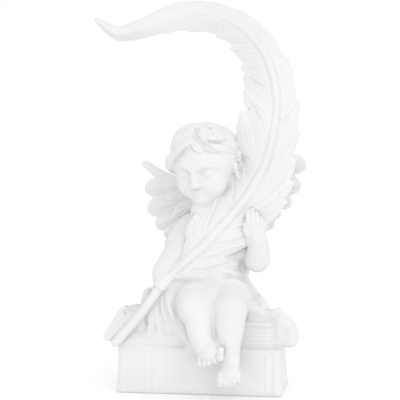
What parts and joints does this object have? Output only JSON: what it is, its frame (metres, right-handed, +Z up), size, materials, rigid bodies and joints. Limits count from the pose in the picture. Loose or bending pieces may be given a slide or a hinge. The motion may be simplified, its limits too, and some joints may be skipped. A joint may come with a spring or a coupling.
{
  "type": "angel statue",
  "caption": "White plaster putto angel seated on stacked books and draped cloth, hugging a tall quill feather that arches over its head.",
  "frame": {"origin": "middle of the lower book's underside, on the surface the statue stands on", "axes": "+Z up, -Y towards the front that the feet hang over, +X towards the angel's left hand"},
  "size_m": [0.1609, 0.1066, 0.3002],
  "materials": {
    "plaster": "matte"
  },
  "bodies": {
    "root": {"angel_statue": "plaster"}
  },
  "joints": []
}
